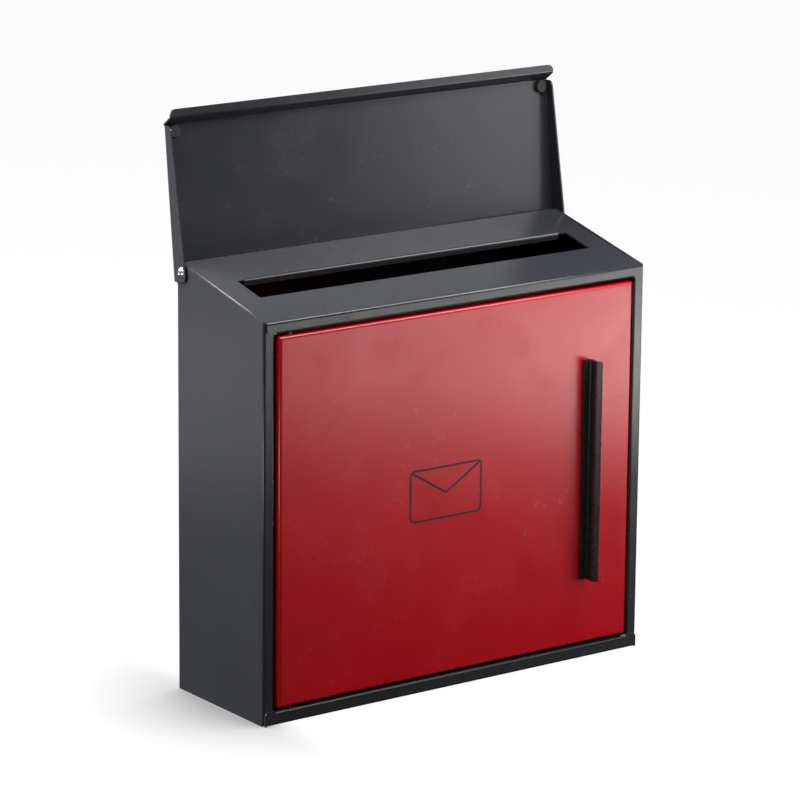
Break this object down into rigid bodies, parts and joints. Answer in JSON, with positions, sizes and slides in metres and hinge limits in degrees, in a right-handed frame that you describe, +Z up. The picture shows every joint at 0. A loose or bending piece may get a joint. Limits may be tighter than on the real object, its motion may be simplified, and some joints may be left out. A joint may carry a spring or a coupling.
{
  "type": "letter box",
  "caption": "Sheet-steel wall letter box with a slotted sloping top, a hinged flanged rain lid standing open, and a front door on vertical pivots with a rolled pull bar.",
  "frame": {"origin": "middle of the four wall holes, on the back plane of the case", "axes": "+Y out of the back towards the wall, +X to the right seen from the front, +Z up; the front door faces -Y"},
  "size_m": [0.3534, 0.1444, 0.4352],
  "materials": {
    "case_coat": "satin anthracite powder coat",
    "door_coat": "satin red powder coat",
    "bar_coat": "satin black powder coat",
    "steel": "plain zinc-plated steel",
    "rubber": "matte",
    "nylon": "black nylon",
    "catch_plastic": "moulded, fine grain",
    "ferrite": "ground sintered magnet"
  },
  "bodies": {
    "case": {"case_shell": "case_coat", "top_panel": "case_coat", "bottom_panel": "case_coat", "hinge_rivet_left": "steel", "hinge_rivet_right": "steel", "hinge_washer_left": "rubber", "hinge_washer_right": "rubber", "door_washer_top": "nylon", "door_washer_bottom": "nylon", "catch_bracket": "steel", "catch_housing": "catch_plastic", "catch_magnet": "ferrite", "catch_pole_plates": "steel", "catch_screws": "steel"},
    "lid": {"lid": "case_coat", "lid_bumper_left": "rubber", "lid_bumper_right": "rubber"},
    "door": {"door_panel": "door_coat", "handle": "bar_coat", "handle_screws": "steel", "door_pin_top": "steel", "door_pin_bottom": "steel"}
  },
  "joints": [
    {"name": "lid_hinge", "type": "hinge", "parent": "case", "child": "lid", "pos_m": [0, -0.008, 0.15776], "axis": [1, 0, 0], "range_deg": [0, 109.2]},
    {"name": "door_hinge", "type": "hinge", "parent": "case", "child": "door", "pos_m": [-0.15115, -0.1087, 0], "axis": [0, 0, -1], "range_deg": [0, 110]}
  ]
}
